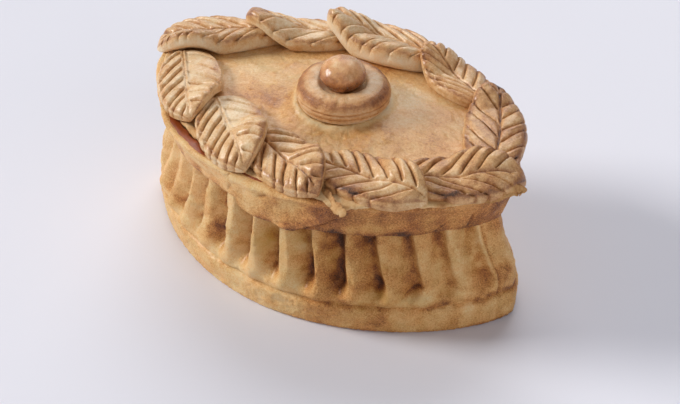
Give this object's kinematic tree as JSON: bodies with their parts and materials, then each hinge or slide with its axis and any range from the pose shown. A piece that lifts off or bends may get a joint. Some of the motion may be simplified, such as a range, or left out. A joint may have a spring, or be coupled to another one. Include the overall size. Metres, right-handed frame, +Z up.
{
  "type": "goose pie",
  "caption": "Raised goose pie: pointed oval case with fluted walls, flared rim, domed lid, round rosette with a knob and a border of pastry leaves.",
  "frame": {"origin": "centre of the flat base, where the oval's long and short axes cross, on the surface the pie stands on", "axes": "+X along the long axis of the oval towards the tip nearest the viewer, +Y across it to the back, +Z up"},
  "size_m": [0.225, 0.1468, 0.1109],
  "materials": {
    "case_crust": "baked hot-water crust, sandy and browned",
    "lid_crust": "baked crust with a thin egg glaze",
    "rosette_crust": "egg-glazed flaky pastry",
    "knob_crust": "dark glossy egg glaze",
    "leaf_crust": "baked pastry, browned at tips and edges"
  },
  "bodies": {
    "root": {"pie_case": "case_crust", "lid": "lid_crust", "rosette": "rosette_crust", "knob": "knob_crust", "leaf_01": "leaf_crust", "leaf_02": "leaf_crust", "leaf_03": "leaf_crust", "leaf_04": "leaf_crust", "leaf_05": "leaf_crust", "leaf_06": "leaf_crust", "leaf_07": "leaf_crust", "leaf_08": "leaf_crust", "leaf_09": "leaf_crust", "leaf_10": "leaf_crust"}
  },
  "joints": []
}
